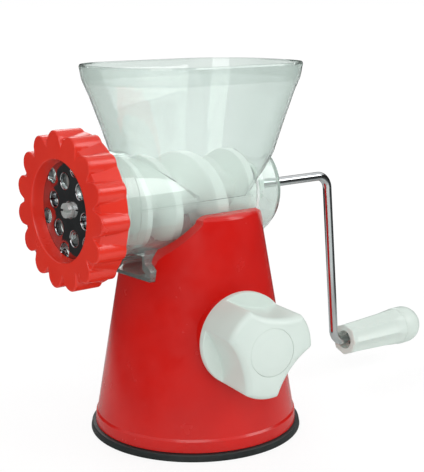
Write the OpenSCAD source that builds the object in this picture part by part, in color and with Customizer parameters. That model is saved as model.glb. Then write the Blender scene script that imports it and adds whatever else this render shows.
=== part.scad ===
// Hand crank meat grinder: a clear hopper and barrel in one piece stands in a red conical base,
// which a knob locks to the table through an eccentric and a rubber suction pad.
// Origin: centre of the pad's underside. +Z up, barrel along X, outlet towards -X, crank at +X.

/* [Base] */
// Radius of the rubber pad's rim
pad_r = 70; // [66:0.5:76]
// Height of the rubber pad's rim
rim_h = 4.6; // [4:0.1:6]
// Radius of the red base at its foot
foot_r = 66.7; // [64:0.1:69]
// Height of the foot band above the table
foot_h = 12.5; // [11:0.5:15]
// How far the foot band stands out of the cone
foot_step = 1.4; // [0.6:0.1:2]
// Radius of the base at its top edge
base_top_r = 42.5; // [41:0.5:46]
// Height of the base's top edge
base_h = 148; // [144:1:152]
// Wall of the moulded base
base_wall = 3; // [2.4:0.1:3.6]
// Height of the low front edge, beside the slide rail
front_h = 115; // [113:0.5:117]

/* [Barrel] */
// Height of the barrel's axis
axis_h = 156; // [155:0.5:158]
// Outer radius of the barrel
barrel_r = 32; // [31:0.5:33.5]
// Wall of the barrel
barrel_wall = 3; // [2.5:0.1:3.4]
// Distance from the base's centre to the barrel's front end
barrel_front = 92; // [90:0.5:95]
// Distance from the base's centre to the barrel's rear end
barrel_rear = 49.6; // [48:0.2:52]
// Outer radius of the threaded collar
collar_r = 37.5; // [36.8:0.1:38.5]

/* [Hopper] */
// Half length of the hopper's mouth
mouth_half_x = 71; // [66:0.5:76]
// Half width of the hopper's mouth
mouth_half_y = 50.5; // [47:0.5:54]
// Corner radius of the hopper's mouth
mouth_corner = 40; // [34:1:44]
// Height of the hopper's rim
rim_top = 239.6; // [232:0.2:250]
// Height of the band round the rim
band_h = 10.8; // [8:0.2:14]
// Wall of the hopper
hopper_wall = 2.5; // [2:0.1:3]

/* [Locking ring] */
// Radius over the ring's lobes
ring_r = 48.2; // [47:0.2:50]
// Depth of the ring along the barrel
ring_depth = 19.2; // [18:0.2:22]
// Number of lobes round the ring
ring_lobes = 15; // [13:1:17]
// Radius of the ring's opening at the front
ring_open_r = 31; // [29:0.5:31.5]

/* [Grinding parts] */
// Radius of the grinding plate
plate_r = 33.4; // [33:0.1:34]
// Thickness of the grinding plate
plate_t = 4.8; // [4:0.1:6]
// Diameter of the plate's holes
plate_hole_d = 9.4; // [6:0.2:9.8]
// Thickness of the cutting blade
blade_t = 3.8; // [3:0.1:5]
// Radius of the spindle's journal
spindle_r = 4.5; // [3.5:0.1:5]
// Pitch of the auger's flight under the hopper's middle, which tightens towards the plate
auger_pitch = 42; // [38:1:46]
// Radius of the auger's core
auger_core = 12.5; // [12:0.5:16]

/* [Crank] */
// Radius of the crank's rod
rod_r = 3.15; // [2.8:0.05:3.5]
// Distance from the barrel's axis down to the grip's axis
throw = 126; // [110:1:140]
// Distance from the base's centre out to the crank's arm at the barrel's axis
arm_x = 119.6; // [112:0.5:126]
// How far the arm leans outwards over its length
arm_lean = 10.6; // [0:0.2:14]
// Bend radius of the rod's centre line
bend_r = 10; // [9:0.5:14]
// Length of the grip with its cap
grip_len = 84; // [76:1:96]
// Radius of the grip at the arm
grip_r1 = 10.7; // [10:0.1:12]
// Radius of the grip at its far end
grip_r2 = 14; // [13:0.1:15.5]

/* [Suction lock] */
// Height of the lock shaft
lock_h = 74.8; // [74:0.2:77]
// Angle of the lock shaft, from -Y towards -X
lock_az = 9.5; // [0:0.5:15]
// Radius of the lock shaft
shaft_r = 6; // [5:0.1:6.2]
// Offset of the eccentric, which lifts the pad
cam_offset = 4.25; // [3:0.05:4.3]
// Radius of the knob
knob_r = 29.6; // [28:0.1:30.4]
// Depth of the knob's disc
knob_disc = 4.8; // [4:0.1:6]
// Depth of the knob's three-lobed grip
knob_grip = 30.7; // [28:0.1:34]

/* [Clearances] */
// Radial clearance of a shaft that turns in a bore
run_gap = 0.06; // [0.03:0.01:0.09]
// Gap between pieces that fit loosely
fit_gap = 0.3; // [0.3:0.05:0.4]
// Gap between faces that are clamped together
face_gap = 0.1; // [0.05:0.05:0.15]

/* [Hidden] */
$fn = 96;
eps = 0.01;
red = "#D0201A";
clear = [0.86, 0.93, 0.90, 0.4];
white = "#E6EBE6";
rubber = "#1E2A2A";
steel = "#A9ADB0";
chrome = "#C9CDD0";
grey = "#8B8F8F";

// ---- Places worked out from the driving sizes ----
// base
cone_r0 = foot_r - foot_step;
foot_z = rim_h + fit_gap;
top_round = 4;
skirt = 3.4;
function cone_r(z) = cone_r0 + (base_top_r - cone_r0) * (z - foot_h) / (base_h - foot_h);
// barrel
bore_r = barrel_r - barrel_wall;
seat_r = plate_r + fit_gap;
seat_depth = 3;
seat_x = -barrel_front + seat_depth;
shoulder_x = -barrel_front + 12;
end_wall = 4;
end_round = 7;
end_drop = 3.4;
end_x = barrel_rear - end_wall;
// slide rail under the barrel, and its slot in the base
rail_half = 18.8;
rail_z = axis_h - barrel_r - 16.2;
rail_lip = 8.5;
rail_neck = 13;
rail_wall = 2.5;
rail_rear = 20;
rail_front = -cone_r(rail_z + 3) - 0.2;
// grinding plate, ring and blade
plate_x = seat_x - face_gap - plate_t;
lip_x = plate_x - face_gap;
ring_front = lip_x - 7.8;
ring_rear = ring_front + ring_depth;
ring_core_r = ring_r - 4;
blade_x = seat_x + fit_gap;
auger_front = blade_x + blade_t + 0.2;
spindle_tip = plate_x - 3;
// auger
auger_r = bore_r - 0.6;
auger_rear = 25;
disc_x = auger_rear + 5;
thrust_x = end_x - 4.6;
pitch_fall = 0.44;
pitch_min = 18;
socket_len = 34;
socket_r = 6;
journal_r = 9;
journal_end = barrel_rear + 1;
washer_t = 1;
bush_x = thrust_x + washer_t + 2 * fit_gap;
bush_flange = end_x - face_gap - bush_x;
// crank
grip_z = axis_h - throw;
lean = atan(arm_lean / throw);
grip_x = arm_x + arm_lean + bend_r;
grip_end = grip_x + grip_len;
cap_len = 21;
cap_x = grip_end - cap_len;
washer_x = cap_x - 4;
// lock
knob_back = cone_r(lock_h - knob_r) + 0.7;
knob_seam = knob_back + knob_disc;
knob_front = knob_seam + knob_grip;
knob_round = 4.6;
scoop_r = 50;
scoop_floor = 20;
scoop_at = 79;
cap_seat_r = 14.5;
boss_r = 25;
boss_back = knob_back - fit_gap - 14;
hub_front = knob_seam + 12 + face_gap;
stem_r = 6;
bush_r = shaft_r + 2.2;
lock_open = -45;
cam_r = 11;
cam_t = 9;
yoke_t = 8;
insert_r = 20;
insert_t = 3;
insert_z = 3 + fit_gap;
plate_floor = 16;
plate_h = 3;
bracket_t = 2.5;
bracket_z = plate_floor + plate_h;
cheek_in = stem_r + 2 * fit_gap;
screw_ring = 50;

// ---- Helpers ----
module along_x() { translate([0, 0, axis_h]) rotate([0, 90, 0]) children(); }
module on_lock() { translate([0, 0, lock_h]) rotate([0, 0, -lock_az]) rotate([90, 0, 0]) children(); }
module tube_x(x0, x1, r_out, r_in) {
    along_x() translate([0, 0, x0]) difference() {
        cylinder(h = x1 - x0, r = r_out);
        translate([0, 0, -eps]) cylinder(h = x1 - x0 + 2 * eps, r = r_in);
    }
}
function arc(cx, cy, r, a0, a1, n) =
    [for (i = [0:n]) [cx + r * cos(a0 + (a1 - a0) * i / n), cy + r * sin(a0 + (a1 - a0) * i / n)]];

// ---- Base ----
// Solid of the whole cone, grown inwards by the wall for its cavity
module base_cone(inset, z0) {
    rotate_extrude() polygon(concat(
        [[0, z0], [foot_r - inset, z0], [foot_r - inset - 0.4, foot_h - 0.8],
         [cone_r(foot_h) - inset, foot_h + 0.6], [cone_r(base_h - top_round) - inset, base_h - top_round]],
        arc(cone_r(base_h - top_round) - inset - top_round, base_h - top_round - inset, top_round, 0, 90, 6),
        [[0, base_h - inset]]));
}
// Side view of the top edge: low beside the rail, an S up to the saddle's flat shoulders
module saddle_side(drop) {
    span = 2 * pad_r;
    rise_x = -cone_r(front_h);
    translate([0, span, 0]) rotate([90, 0, 0]) linear_extrude(height = 2 * span)
        polygon(concat(
            [[-span, -1], [-span, front_h - drop], [rise_x + 3 + drop, front_h - drop],
             [rise_x + 5 + drop, front_h + 6 - drop], [rise_x + 7.5 + drop, front_h + 9.5 - drop],
             [rise_x + 26 + drop, base_h - 5 - drop]],
            arc(rise_x + 33.5 + drop, base_h - 12 - drop, 12, 126, 90, 5),
            [[span, base_h - drop], [span, -1]]));
}
module rail_shape(grow) {
    low = rail_z - grow;
    lip = rail_z + rail_lip + grow;
    half = rail_half + grow;
    neck = rail_neck + grow;
    polygon([[-half, low], [half, low], [half, lip - 1.5], [half - 1.5, lip], [neck, lip + 2],
             [neck, axis_h], [-neck, axis_h], [-neck, lip + 2], [1.5 - half, lip], [-half, lip - 1.5]]);
}
module rail_bar(grow, x0, x1) {
    translate([x0, 0, 0]) rotate([90, 0, 90]) linear_extrude(height = x1 - x0) rail_shape(grow);
}
module base_cavity() {
    difference() {
        intersection() {
            base_cone(base_wall, -1);
            saddle_side(base_wall);
        }
        along_x() cylinder(h = 4 * pad_r, r = barrel_r + fit_gap + base_wall, center = true);
        rail_bar(fit_gap + base_wall, -2 * pad_r, rail_rear + fit_gap + base_wall);
        translate([-2 * pad_r, -rail_neck - base_wall, rail_z]) cube([2 * pad_r + rail_rear, 2 * (rail_neck + base_wall), 60]);
        lock_boss_walls();
        for (a = [45:90:315]) rotate([0, 0, a]) screw_boss();
    }
}
module lock_boss() {
    on_lock() translate([0, 0, boss_back]) cylinder(h = 14, r = boss_r);
}
// Front wall, round wall and bush sleeve of the boss behind the knob
module lock_boss_walls() {
    difference() {
        lock_boss();
        on_lock() translate([0, 0, boss_back - 1]) difference() {
            cylinder(h = 15 - base_wall, r = boss_r - base_wall);
            cylinder(h = 15, r = bush_r + base_wall);
        }
    }
}
module screw_boss() {
    translate([screw_ring, 0, bracket_z]) cylinder(h = 30, r = 4.5);
    translate([screw_ring, -1.25, bracket_z]) cube([20, 2.5, 30]);
}
module base_shell() {
    color(red) difference() {
        union() {
            intersection() {
                base_cone(0, foot_z);
                saddle_side(0);
            }
            intersection() {
                lock_boss();
                translate([0, 0, base_h / 2]) cube([4 * pad_r, 4 * pad_r, base_h], center = true);
            }
        }
        base_cavity();
        along_x() cylinder(h = 4 * pad_r, r = barrel_r + fit_gap, center = true);
        rail_bar(fit_gap, -2 * pad_r, rail_rear + fit_gap);
        on_lock() cylinder(h = knob_back, r = bush_r + face_gap / 2);
        for (a = [45:90:315]) rotate([0, 0, a])
            translate([screw_ring, 0, bracket_z - 1]) cylinder(h = 21, r = 2);
    }
}
module base_plate() {
    plate_edge = cone_r(bracket_z) - base_wall - 2 * fit_gap - 2;
    color(grey) difference() {
        translate([0, 0, plate_floor]) cylinder(h = plate_h - face_gap, r = plate_edge);
        cylinder(h = 2 * bracket_z, r = stem_r + run_gap);
        for (a = [45:90:315]) rotate([0, 0, a])
            translate([screw_ring, 0, 0]) cylinder(h = 2 * bracket_z, r = 2.2);
        at_bracket_holes() cylinder(h = 2 * bracket_z, r = 1.6);
    }
}
module screw(len, r, head_r, head_h) {
    translate([0, 0, -head_h]) cylinder(h = head_h, r = head_r);
    cylinder(h = len, r = r);
}
module base_plate_screws() {
    color(steel) for (a = [45:90:315]) rotate([0, 0, a])
        translate([screw_ring, 0, plate_floor - face_gap]) screw(18, 1.9, 4, 2.4);
}

// ---- Suction lock ----
module at_bracket_holes() {
    rotate([0, 0, -lock_az]) for (sx = [-1, 1], sy = [-1, 1]) translate([sx * 12, sy * (cheek_in + 8.5), 0]) children();
}
module suction_pad() {
    lip = insert_z + insert_t + fit_gap;
    color(rubber) rotate_extrude() polygon([[0, 0], [pad_r - 1, 0], [pad_r, 1.2], [pad_r - 0.6, rim_h - 0.6],
        [pad_r - 1.6, rim_h], [foot_r - skirt - fit_gap, rim_h], [foot_r - skirt - fit_gap - 0.6, rim_h + 2.4],
        [foot_r - skirt - 6, rim_h + 2.4], [foot_r - skirt - 9, 3], [insert_r + 5, 3],
        [insert_r + 4, lip + 2], [stem_r + 2, lip + 2], [stem_r + 2, lip], [insert_r + fit_gap, lip],
        [insert_r + fit_gap, insert_z - fit_gap], [0, insert_z - fit_gap]]);
}
module pad_insert() {
    color(grey) difference() {
        union() {
            translate([0, 0, insert_z]) cylinder(h = insert_t, r = insert_r);
            translate([0, 0, insert_z]) cylinder(h = 2 * insert_t, r = stem_r + 1.5);
        }
        translate([0, 0, insert_z + 1]) cylinder(h = 10, r = 3 + face_gap / 2);
    }
}
module lift_yoke() {
    cam_z = lock_h + cam_offset * sin(lock_open);
    win_h = cam_r + 0.3;
    win_w = cam_r + cam_offset + fit_gap;
    stem_z = insert_z + 2 * insert_t + face_gap;
    color(white) {
        difference() {
            union() {
                on_lock() translate([0, cam_z - lock_h, 0])
                    cube([2 * (win_w + 4), 2 * (win_h + 4), yoke_t], center = true);
                translate([0, 0, stem_z]) cylinder(h = cam_z - win_h - 3 - stem_z, r = stem_r);
                translate([0, 0, insert_z + 1 + face_gap]) cylinder(h = 8, r = 3);
            }
            on_lock() translate([0, cam_z - lock_h, 0])
                cube([2 * win_w, 2 * win_h, 2 * yoke_t], center = true);
        }
    }
}
module cam_bracket() {
    wide = 34;
    tall = lock_h + 12 - bracket_z;
    reach = cheek_in + bracket_t;
    color(steel) difference() {
        union() {
            for (s = [-1, 1]) rotate([0, 0, -lock_az]) {
                translate([-wide / 2, s > 0 ? cheek_in : -reach, bracket_z]) cube([wide, bracket_t, tall]);
                translate([-wide / 2, s > 0 ? cheek_in : -reach - 12, bracket_z])
                    cube([wide, bracket_t + 12, bracket_t]);
            }
        }
        on_lock() cylinder(h = 4 * reach, r = shaft_r + run_gap, center = true);
        at_bracket_holes() cylinder(h = 2 * bracket_z, r = 1.6);
    }
}
module bracket_screws() {
    color(steel) at_bracket_holes()
        translate([0, 0, bracket_z + bracket_t + face_gap]) rotate([180, 0, 0]) screw(7, 1.5, 3, 1.8);
}
module lock_shaft() {
    tip = hub_front - face_gap;
    tail = -cheek_in - bracket_t - 4;
    color(steel) on_lock() difference() {
        union() {
            translate([0, 0, tail]) cylinder(h = knob_back - fit_gap - tail, r = shaft_r);
            rotate([0, 0, lock_open]) translate([cam_offset, 0, -cam_t / 2]) cylinder(h = cam_t, r = cam_r);
            translate([-shaft_r * 0.7, -shaft_r * 0.7, 40]) cube([shaft_r * 1.4, shaft_r * 1.4, tip - 40]);
        }
        translate([0, 0, tip - 14]) cylinder(h = 20, r = 1.6);
    }
}
module shaft_bush() {
    color(white) on_lock() difference() {
        union() {
            translate([0, 0, boss_back - 2]) cylinder(h = 16, r = bush_r);
            translate([0, 0, boss_back - 2 - face_gap]) cylinder(h = 2, r = bush_r + 3);
        }
        translate([0, 0, boss_back - 5]) cylinder(h = 30, r = shaft_r + run_gap);
    }
}
// Cutter of one finger scoop, which flares to round the scoop's front edge
module scoop_cutter() {
    rotate_extrude() polygon(concat([[0, 0], [scoop_r, 0]],
        [for (i = [0:6]) [scoop_r + knob_round * (1 - cos(15 * i)), knob_grip - knob_round + knob_round * sin(15 * i)]],
        [[scoop_r + knob_round, knob_grip + 2], [0, knob_grip + 2]]));
}
module lock_knob() {
    square = shaft_r * 1.4 + 2 * face_gap;
    hub_r = 9.5;
    shell = 3;
    color(white) on_lock() difference() {
        rotate_extrude() polygon(concat(
            [[0, knob_back], [knob_r - 0.8, knob_back], [knob_r, knob_back + 1], [knob_r, knob_front - knob_round]],
            arc(knob_r - knob_round, knob_front - knob_round, knob_round, 0, 90, 6),
            [[0, knob_front]]));
        for (a = [0:120:240]) rotate([0, 0, scoop_at + a])
            translate([scoop_floor + scoop_r, 0, knob_seam]) scoop_cutter();
        translate([0, 0, knob_back - 1]) cylinder(h = 1 + 2, r = boss_r - 4);
        translate([0, 0, knob_back]) difference() {
            cylinder(h = knob_front - 8 - knob_back, r = scoop_floor - shell);
            cylinder(h = knob_front, r = hub_r);
        }
        translate([-square / 2, -square / 2, knob_back]) cube([square, square, hub_front - knob_back]);
        translate([0, 0, hub_front - 1]) cylinder(h = 40, r = 2.2);
        translate([0, 0, hub_front + 3]) cylinder(h = 40, r = 6);
        translate([0, 0, knob_front - 3]) cylinder(h = 4, r = cap_seat_r + fit_gap);
    }
}
module knob_cap() {
    color(white) on_lock() {
        rotate_extrude() polygon([[0, knob_front - 3 + face_gap], [cap_seat_r, knob_front - 3 + face_gap],
            [cap_seat_r, knob_front + 0.2], [cap_seat_r - 0.8, knob_front + 0.8], [9, knob_front + 1.6],
            [0, knob_front + 1.9]]);
        translate([0, 0, knob_front - 8]) difference() {
            cylinder(h = 5.2, r = 6 - face_gap);
            translate([0, 0, -1]) cylinder(h = 5.2, r = 4.8);
        }
    }
}
module knob_screw() {
    color(steel) on_lock() translate([0, 0, hub_front + 3 + face_gap]) {
        cylinder(h = 2.4, r = 4);
        translate([0, 0, -14]) cylinder(h = 14, r = 1.55);
    }
}

// ---- Clear body ----
// A level slice of the hopper; hulls between slices make its flared walls
module slice(z, half_x, half_y, corner) {
    for (sx = [-1, 1], sy = [-1, 1])
        translate([sx * (half_x - corner), sy * (half_y - corner), z]) cylinder(h = eps, r = corner, $fn = 40);
}
mid_z = axis_h + 26;
mid_half_x = 54;
mid_half_y = 38.5;
low_half_x = 39.5;
band_z = rim_top - band_h;
module hopper_solid(inset) {
    c = mouth_corner - inset;
    hull() {
        slice(band_z - (inset > 0 ? 2 * eps : 0), mouth_half_x - 1.4 - inset, mouth_half_y - 1.4 - inset, c);
        slice(rim_top - eps + (inset > 0 ? 1 : 0), mouth_half_x - inset, mouth_half_y - inset, c);
    }
    hull() {
        slice(mid_z, mid_half_x - inset, mid_half_y - inset, c - 6);
        slice(band_z, mouth_half_x - 2.6 - inset, mouth_half_y - 2.6 - inset, c - 1);
    }
    hull() {
        slice(axis_h, low_half_x - inset, barrel_r - (inset > 0 ? inset + 0.8 : 0.3), c - 12);
        slice(mid_z + eps, mid_half_x - inset, mid_half_y - inset, c - 6);
    }
}
module barrel_solid() {
    along_x() rotate_extrude() polygon(concat(
        [[0, -barrel_front], [collar_r - 0.8, -barrel_front], [collar_r, 0.8 - barrel_front],
         [collar_r, shoulder_x], [barrel_r, shoulder_x + 6]],
        [for (i = [0:6]) [barrel_r - end_drop * (1 - cos(i * 15)), barrel_rear - end_round + end_round * sin(i * 15)]],
        [[0, barrel_rear]]));
}
module barrel_bore() {
    along_x() {
        translate([0, 0, -barrel_front - 1]) cylinder(h = seat_depth + 1, r = seat_r);
        translate([0, 0, seat_x - eps]) cylinder(h = end_x - seat_x, r = bore_r);
        translate([0, 0, end_x - 5]) cylinder(h = 20, r = journal_r + 3 + face_gap / 2);
    }
}
key_w = 4;
module plate_key() {
    translate([-barrel_front + 0.6, -key_w / 2, axis_h + plate_r - 3])
        cube([seat_depth - 0.6, key_w, 3 + 2]);
}
module grinder_body() {
    color(clear) {
        difference() {
            union() {
                barrel_solid();
                difference() {
                    hopper_solid(0);
                    translate([-100, -100, axis_h - 200 - eps]) cube([200, 200, 200]);
                }
                intersection() {
                    difference() {
                        rail_bar(0, rail_front, rail_rear);
                        translate([0, 0, rail_wall]) rail_hollow();
                    }
                    translate([-100, -60, 0]) cube([200, 120, axis_h]);
                }
            }
            hopper_solid(hopper_wall);
            barrel_bore();
        }
        plate_key();
    }
}
module rail_hollow() {
    w = rail_half - rail_wall;
    neck = rail_neck - rail_wall;
    top = axis_h - barrel_r - 1;
    translate([rail_front - 1, 0, 0]) rotate([90, 0, 90]) linear_extrude(height = rail_rear - rail_front - rail_wall)
        polygon([[-w, rail_z], [w, rail_z], [neck, rail_z + rail_lip - 2], [neck, top], [-neck, top],
                 [-neck, rail_z + rail_lip - 2]]);
}
module rear_bush() {
    color(white) {
        tube_x(bush_x, journal_end - 0.6, journal_r + 3, journal_r + run_gap);
        tube_x(bush_x, bush_x + bush_flange, journal_r + 7, journal_r + run_gap);
    }
}
module thrust_washer() {
    color(grey) tube_x(thrust_x + fit_gap, thrust_x + fit_gap + washer_t, journal_r + 6, journal_r + fit_gap);
}

// ---- Auger, spindle, blade, plate and ring ----
// Height of the flight over the core, at an angle from its ridge
flight_tip = 34;
flight_root = 92;
function flight(a) = a < flight_tip ? 1
    : a < flight_root ? (1 + cos(180 * (a - flight_tip) / (flight_root - flight_tip))) / 2 : 0;
// Turns of the ridge from the base's centre to x, and the x that has them: the pitch falls towards the plate
steady_x = (pitch_min - auger_pitch) / pitch_fall;
steady_turns = ln(pitch_min / auger_pitch) / pitch_fall;
function turns_at(x) = x > steady_x ? ln(1 + pitch_fall * x / auger_pitch) / pitch_fall
    : steady_turns + (x - steady_x) / pitch_min;
function x_after(t) = t > steady_turns ? (exp(pitch_fall * t) - 1) * auger_pitch / pitch_fall
    : steady_x + (t - steady_turns) * pitch_min;
// Core with one flight wound along it; the ridge faces -Y where it crosses the base's centre
module auger_flight() {
    pts = 32;
    first = turns_at(auger_front);
    last = turns_at(auger_rear);
    rows = ceil((last - first) * 18);
    ring = [for (k = [0:rows]) let (t = first + (last - first) * k / rows, x = x_after(t))
        for (i = [0:pts - 1]) let (a = 360 * i / pts, away = abs(a - 180 * 2 * floor(a / 360 + 0.5)),
            r = auger_core + (auger_r - auger_core) * flight(away), w = a - 90 - 360 * t)
            [x, r * sin(w), axis_h + r * cos(w)]];
    polyhedron(points = ring, faces = concat(
        [[for (i = [0:pts - 1]) pts - 1 - i]],
        [[for (i = [0:pts - 1]) rows * pts + i]],
        [for (k = [0:rows - 1], i = [0:pts - 1]) let (j = (i + 1) % pts)
            [k * pts + i, k * pts + j, (k + 1) * pts + i]],
        [for (k = [0:rows - 1], i = [0:pts - 1]) let (j = (i + 1) % pts)
            [(k + 1) * pts + i, k * pts + j, (k + 1) * pts + j]]));
}
module auger() {
    color(white) difference() {
        union() {
            auger_flight();
            along_x() translate([0, 0, auger_rear - 1]) cylinder(h = disc_x - auger_rear + 1, r = auger_r - 1);
            along_x() translate([0, 0, disc_x - 1]) cylinder(h = thrust_x - disc_x + 1, r = journal_r + 5);
            along_x() translate([0, 0, thrust_x - 1]) cylinder(h = journal_end - thrust_x + 1, r = journal_r);
        }
        along_x() translate([0, 0, auger_front - 1]) cylinder(h = 25, r = 6 + face_gap / 2);
        along_x() translate([0, 0, journal_end - socket_len])
            cylinder(h = socket_len + 6, r = socket_r + face_gap, $fn = 6);
    }
}
module drive_socket() {
    color(steel) along_x() difference() {
        translate([0, 0, journal_end - socket_len + face_gap])
            cylinder(h = socket_len - 2 * face_gap, r = socket_r, $fn = 6);
        translate([0, 0, journal_end - socket_len + 3]) cylinder(h = socket_len + 6, r = rod_r + face_gap / 2);
    }
}
module auger_spindle() {
    square = 1.5 * spindle_r + 1.2;
    color(steel) difference() {
        union() {
            along_x() translate([0, 0, spindle_tip]) cylinder(h = seat_x + eps - spindle_tip, r = spindle_r);
            along_x() translate([-square / 2, -square / 2, seat_x]) cube([square, square, auger_front - seat_x]);
            along_x() translate([0, 0, auger_front - eps]) cylinder(h = 23, r = 6);
        }
        along_x() translate([-0.8, -2 * spindle_r, spindle_tip - 1]) cube([1.6, 4 * spindle_r, 2.6]);
    }
}
module cutting_blade() {
    square = 1.5 * spindle_r + 1.2 + 2 * face_gap;
    wing_in = 9;
    wing_out = auger_r - 0.6;
    color(steel) along_x() translate([0, 0, blade_x]) difference() {
        union() {
            cylinder(h = blade_t, r = wing_in);
            for (a = [0:90:270]) rotate([0, 0, a + 20]) linear_extrude(height = blade_t)
                polygon(concat([[0, -5], [wing_in, -5]], arc(0, 0, wing_out, -9, 6, 4), [[wing_in, 3], [0, 5]]));
        }
        translate([-square / 2, -square / 2, -1]) cube([square, square, blade_t + 2]);
    }
}
module grinding_plate() {
    inner_ring = 17.5;
    outer_ring = plate_r - 6.9;
    color(steel) difference() {
        tube_x(plate_x, plate_x + plate_t, plate_r, spindle_r + run_gap);
        along_x() for (a = [15:60:315]) {
            rotate([0, 0, a]) translate([0, inner_ring, plate_x - 1]) cylinder(h = plate_t + 2, d = plate_hole_d, $fn = 48);
            rotate([0, 0, a + 30]) translate([0, outer_ring, plate_x - 1]) cylinder(h = plate_t + 2, d = plate_hole_d, $fn = 48);
        }
        translate([plate_x - 1, -key_w / 2 - fit_gap, axis_h + plate_r - 3 - fit_gap]) cube([plate_t + 2, key_w + 2 * fit_gap, 6]);
    }
}
// Outline of the ring: round lobes with shallow valleys between them
function lobe(a) = ring_core_r + (ring_r - ring_core_r) * pow((1 + cos(a * ring_lobes)) / 2, 0.75);
module locking_ring() {
    lobe_phase = 3.5;
    notch_r = ring_core_r - 5.8;
    notch_slope = 30;
    per_lobe = 8;
    color(red) along_x() rotate([0, 0, 180 - lobe_phase]) difference() {
        translate([0, 0, ring_front]) linear_extrude(height = ring_depth)
            polygon([for (i = [0:ring_lobes * per_lobe - 1])
                let (a = 360 * (i + 0.5) / (ring_lobes * per_lobe)) [lobe(a) * cos(a), lobe(a) * sin(a)]]);
        translate([0, 0, ring_front - 1]) cylinder(h = lip_x - ring_front + 2, r1 = ring_open_r + 0.2, r2 = ring_open_r - 1.6);
        translate([0, 0, lip_x]) cylinder(h = ring_depth, r = collar_r + 0.4);
        for (i = [0:ring_lobes - 1]) rotate([0, 0, 360 * (i + 0.5) / ring_lobes])
            translate([notch_r, 0, ring_front]) rotate([0, 90 - notch_slope, 0])
                linear_extrude(height = 16) polygon([[0, 0], [10, -8], [10, 8]]);
    }
}

// ---- Crank ----
module bend(at, from, turn) {
    translate(at) rotate([0, from, 0]) rotate([90, 0, 0]) rotate_extrude(angle = turn)
        translate([bend_r, 0]) circle(r = rod_r, $fn = 48);
}
module crank_rod() {
    rod_in = journal_end - 30;
    // the rod runs along X, down the leaning arm, and along X again into the grip
    turn = 90 - lean;
    trim = bend_r * tan(turn / 2);
    arm_len = throw / cos(lean) - 2 * trim;
    rod_end = washer_x + 2;
    reach = 0.4;
    straight_r = rod_r - 0.02;
    color(chrome) {
        translate([rod_in, 0, axis_h]) rotate([0, 90, 0]) cylinder(h = arm_x - trim - rod_in + reach, r = straight_r);
        bend([arm_x - trim, 0, axis_h - bend_r], -90, -turn);
        translate([arm_x + (trim - reach) * sin(lean), 0, axis_h - (trim - reach) * cos(lean)])
            rotate([0, 180 - lean, 0]) cylinder(h = arm_len + 2 * reach, r = straight_r);
        bend([arm_x + arm_lean + trim, 0, grip_z + bend_r], 90, -turn);
        translate([arm_x + arm_lean + trim - reach, 0, grip_z]) rotate([0, 90, 0])
            cylinder(h = rod_end - arm_x - arm_lean - trim + reach, r = straight_r);
    }
}
module grip_along() { translate([0, 0, grip_z]) rotate([0, 90, 0]) children(); }
module crank_grip() {
    flute_r = 9;
    flutes = 8;
    slope = atan((grip_r2 - grip_r1) / (cap_x - grip_x));
    color(white) grip_along() difference() {
        rotate_extrude() polygon([[0, grip_x], [grip_r1 - 1.2, grip_x], [grip_r1, grip_x + 1.4],
            [grip_r2, cap_x - face_gap], [0, cap_x - face_gap]]);
        translate([0, 0, grip_x - 1]) cylinder(h = grip_len, r = rod_r + run_gap);
        translate([0, 0, washer_x - fit_gap]) cylinder(h = grip_len, r = 7.5);
        for (i = [0:flutes - 1]) rotate([0, 0, 360 * (i + 0.5) / flutes])
            translate([grip_r1 + flute_r - 0.9, 0, grip_x + 3]) rotate([0, slope, 0])
                cylinder(h = cap_x - grip_x - 8, r = flute_r);
    }
}
module grip_washer() {
    color(steel) grip_along() difference() {
        translate([0, 0, washer_x]) cylinder(h = 1.2, r = 6.5);
        translate([0, 0, washer_x - 1]) cylinder(h = 4, r = rod_r + face_gap / 2);
    }
}
module grip_cap() {
    plug_r = 7.5 - face_gap / 2;
    color(white) grip_along() difference() {
        rotate_extrude() polygon(concat([[0, cap_x - 2.4], [plug_r, cap_x - 2.4], [plug_r, cap_x], [grip_r2, cap_x],
            [grip_r2 + 0.2, cap_x + 4]],
            [for (i = [0:8]) [grip_r2 * cos(i * 11.25), cap_x + 9 + (cap_len - 9) * sin(i * 11.25)]]));
        translate([0, 0, cap_x - 3]) cylinder(h = 5, r = plug_r - 2);
    }
}

base_shell();
base_plate();
base_plate_screws();
suction_pad();
pad_insert();
lift_yoke();
cam_bracket();
bracket_screws();
lock_shaft();
shaft_bush();
lock_knob();
knob_cap();
knob_screw();
grinder_body();
rear_bush();
thrust_washer();
auger();
drive_socket();
auger_spindle();
cutting_blade();
grinding_plate();
locking_ring();
crank_rod();
grip_washer();
crank_grip();
grip_cap();
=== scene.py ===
"""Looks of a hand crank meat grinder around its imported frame: clear hopper and barrel, red suction base,
lobed locking ring, three-lobed lock knob and cranked rod with a fluted grip."""
import math

import bmesh
import bpy
import numpy as np
from mathutils import Matrix, Vector


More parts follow.
